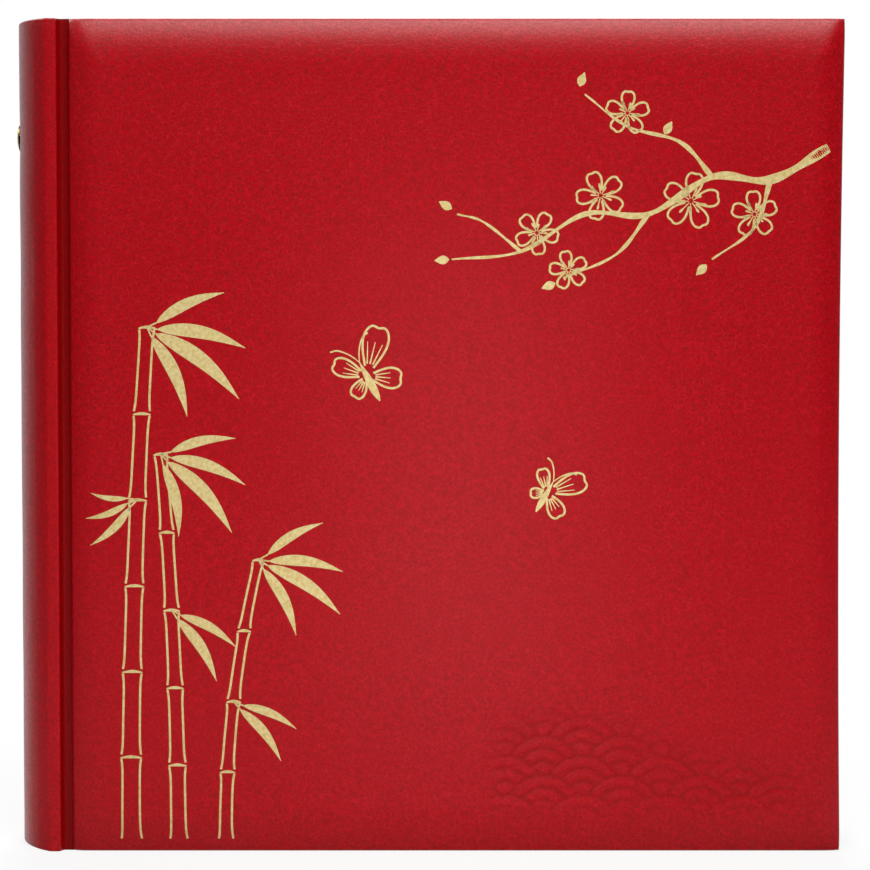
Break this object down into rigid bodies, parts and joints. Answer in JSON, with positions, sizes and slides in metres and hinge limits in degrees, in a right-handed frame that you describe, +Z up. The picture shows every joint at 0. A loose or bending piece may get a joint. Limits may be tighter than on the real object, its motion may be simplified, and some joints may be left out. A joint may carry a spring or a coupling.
{
  "type": "stamp album",
  "caption": "Padded red leatherette ring-bound stamp album with a rounded spine, grooved cover hinges, an opening ring mechanism and black stock leaves.",
  "frame": {"origin": "middle of the footprint, on the surface that the album stands on", "axes": "+Z up along the spine, front cover towards -Y, spine towards -X, fore edge towards +X"},
  "size_m": [0.3172, 0.058, 0.317],
  "materials": {
    "leatherette": "satin",
    "board": "matte",
    "foam": "matte",
    "lining": "matte",
    "ring_metal": "polished",
    "rivet_metal": "polished",
    "leaf_card": "matte",
    "strip_film": "gloss"
  },
  "bodies": {
    "spine": {"spine_board": "board", "spine_skin": "leatherette", "spine_lining": "lining", "front_joint": "leatherette", "rear_joint": "leatherette", "ring_hood": "ring_metal", "upper_rivet": "rivet_metal", "lower_rivet": "rivet_metal"},
    "front_cover": {"front_skin": "leatherette", "front_pad": "foam", "front_board": "board", "front_lining": "lining"},
    "rear_cover": {"rear_skin": "leatherette", "rear_pad": "foam", "rear_board": "board", "rear_lining": "lining"},
    "front_ring_carrier": {"front_ring_blade": "ring_metal", "front_half_ring_1": "ring_metal", "front_half_ring_2": "ring_metal", "front_half_ring_3": "ring_metal", "front_half_ring_4": "ring_metal"},
    "rear_ring_carrier": {"rear_ring_blade": "ring_metal", "rear_half_ring_1": "ring_metal", "rear_half_ring_2": "ring_metal", "rear_half_ring_3": "ring_metal", "rear_half_ring_4": "ring_metal"},
    "leaf_1": {"leaf_1_card": "leaf_card", "leaf_1_strips": "strip_film"},
    "leaf_2": {"leaf_2_card": "leaf_card", "leaf_2_strips": "strip_film"},
    "leaf_3": {"leaf_3_card": "leaf_card", "leaf_3_strips": "strip_film"},
    "leaf_4": {"leaf_4_card": "leaf_card", "leaf_4_strips": "strip_film"},
    "leaf_5": {"leaf_5_card": "leaf_card", "leaf_5_strips": "strip_film"},
    "leaf_6": {"leaf_6_card": "leaf_card", "leaf_6_strips": "strip_film"},
    "leaf_7": {"leaf_7_card": "leaf_card", "leaf_7_strips": "strip_film"},
    "leaf_8": {"leaf_8_card": "leaf_card", "leaf_8_strips": "strip_film"},
    "leaf_9": {"leaf_9_card": "leaf_card", "leaf_9_strips": "strip_film"},
    "leaf_10": {"leaf_10_card": "leaf_card", "leaf_10_strips": "strip_film"}
  },
  "joints": [
    {"name": "front_cover_hinge", "type": "hinge", "parent": "spine", "child": "front_cover", "pos_m": [-0.137, -0.0246, 0.1585], "axis": [0, 0, -1], "range_deg": [0, 105]},
    {"name": "rear_cover_hinge", "type": "hinge", "parent": "spine", "child": "rear_cover", "pos_m": [-0.137, 0.0246, 0.1585], "axis": [0, 0, 1], "range_deg": [0, 105]},
    {"name": "front_ring_open", "type": "hinge", "parent": "spine", "child": "front_ring_carrier", "pos_m": [-0.14607, -0.01532, 0.1585], "axis": [0, 0, -1], "range_deg": [0, 5]},
    {"name": "rear_ring_open", "type": "hinge", "parent": "spine", "child": "rear_ring_carrier", "pos_m": [-0.14607, 0.01532, 0.1585], "axis": [0, 0, 1], "range_deg": [0, 5]},
    {"name": "leaf_1_turn", "type": "hinge", "parent": "spine", "child": "leaf_1", "pos_m": [-0.13227, 0, 0.1585], "axis": [0, 0, -1], "range_deg": [0, 63]},
    {"name": "leaf_2_turn", "type": "hinge", "parent": "spine", "child": "leaf_2", "pos_m": [-0.13227, 0, 0.1585], "axis": [0, 0, -1], "range_deg": [0, 54.6]},
    {"name": "leaf_3_turn", "type": "hinge", "parent": "spine", "child": "leaf_3", "pos_m": [-0.13227, 0, 0.1585], "axis": [0, 0, -1], "range_deg": [0, 46.2]},
    {"name": "leaf_4_turn", "type": "hinge", "parent": "spine", "child": "leaf_4", "pos_m": [-0.13227, 0, 0.1585], "axis": [0, 0, -1], "range_deg": [0, 37.8]},
    {"name": "leaf_5_turn", "type": "hinge", "parent": "spine", "child": "leaf_5", "pos_m": [-0.13227, 0, 0.1585], "axis": [0, 0, -1], "range_deg": [0, 29.4]},
    {"name": "leaf_6_turn", "type": "hinge", "parent": "spine", "child": "leaf_6", "pos_m": [-0.13227, 0, 0.1585], "axis": [0, 0, 1], "range_deg": [0, 29.4]},
    {"name": "leaf_7_turn", "type": "hinge", "parent": "spine", "child": "leaf_7", "pos_m": [-0.13227, 0, 0.1585], "axis": [0, 0, 1], "range_deg": [0, 37.8]},
    {"name": "leaf_8_turn", "type": "hinge", "parent": "spine", "child": "leaf_8", "pos_m": [-0.13227, 0, 0.1585], "axis": [0, 0, 1], "range_deg": [0, 46.2]},
    {"name": "leaf_9_turn", "type": "hinge", "parent": "spine", "child": "leaf_9", "pos_m": [-0.13227, 0, 0.1585], "axis": [0, 0, 1], "range_deg": [0, 54.6]},
    {"name": "leaf_10_turn", "type": "hinge", "parent": "spine", "child": "leaf_10", "pos_m": [-0.13227, 0, 0.1585], "axis": [0, 0, 1], "range_deg": [0, 63]}
  ],
  "couplings": [
    {"joint": "rear_ring_open", "follows": "front_ring_open", "ratio": 1},
    {"joint": "leaf_1_turn", "follows": "front_cover_hinge", "ratio": 0.6},
    {"joint": "leaf_10_turn", "follows": "rear_cover_hinge", "ratio": 0.6},
    {"joint": "leaf_2_turn", "follows": "front_cover_hinge", "ratio": 0.52},
    {"joint": "leaf_9_turn", "follows": "rear_cover_hinge", "ratio": 0.52},
    {"joint": "leaf_3_turn", "follows": "front_cover_hinge", "ratio": 0.44},
    {"joint": "leaf_8_turn", "follows": "rear_cover_hinge", "ratio": 0.44},
    {"joint": "leaf_4_turn", "follows": "front_cover_hinge", "ratio": 0.36},
    {"joint": "leaf_7_turn", "follows": "rear_cover_hinge", "ratio": 0.36},
    {"joint": "leaf_5_turn", "follows": "front_cover_hinge", "ratio": 0.28},
    {"joint": "leaf_6_turn", "follows": "rear_cover_hinge", "ratio": 0.28}
  ]
}
